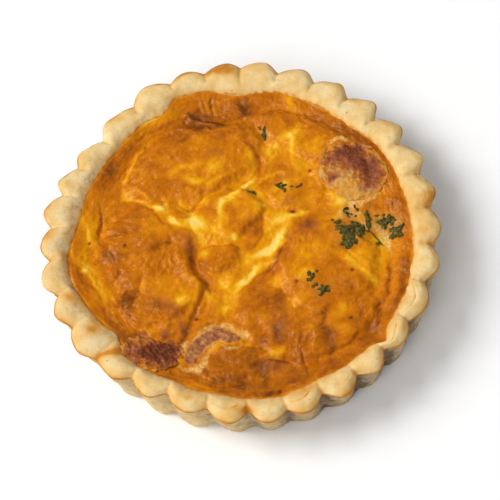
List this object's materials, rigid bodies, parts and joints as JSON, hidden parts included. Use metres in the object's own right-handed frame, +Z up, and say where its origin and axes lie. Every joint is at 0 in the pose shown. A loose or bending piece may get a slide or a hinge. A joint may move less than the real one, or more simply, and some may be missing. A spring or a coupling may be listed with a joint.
{
  "type": "quiche",
  "caption": "Single-serving round quiche in a fluted shortcrust pastry case, with browned puffed custard, ham pieces and parsley on top.",
  "frame": {"origin": "middle of the flat base, where the quiche rests", "axes": "+Z up out of the filling; the cardinal axes are otherwise arbitrary, with the right-hand ham lump towards +X +Y and the ham strip towards -X -Y"},
  "size_m": [0.1214, 0.1219, 0.0208],
  "materials": {
    "pastry": "matt, dry and crumbly, with golden-brown lip edges",
    "custard": "moist browned skin with a soft gloss, yellow in the valleys",
    "ham": "roasted and crumbly, slightly moist",
    "parsley": "baked, dull and curled"
  },
  "bodies": {
    "root": {"crust": "pastry", "filling": "custard", "ham_lump_right": "ham", "ham_lump_left": "ham", "ham_strip": "ham", "parsley_sprig": "parsley", "parsley_leaf_back": "parsley", "parsley_leaf_edge": "parsley"}
  },
  "joints": []
}
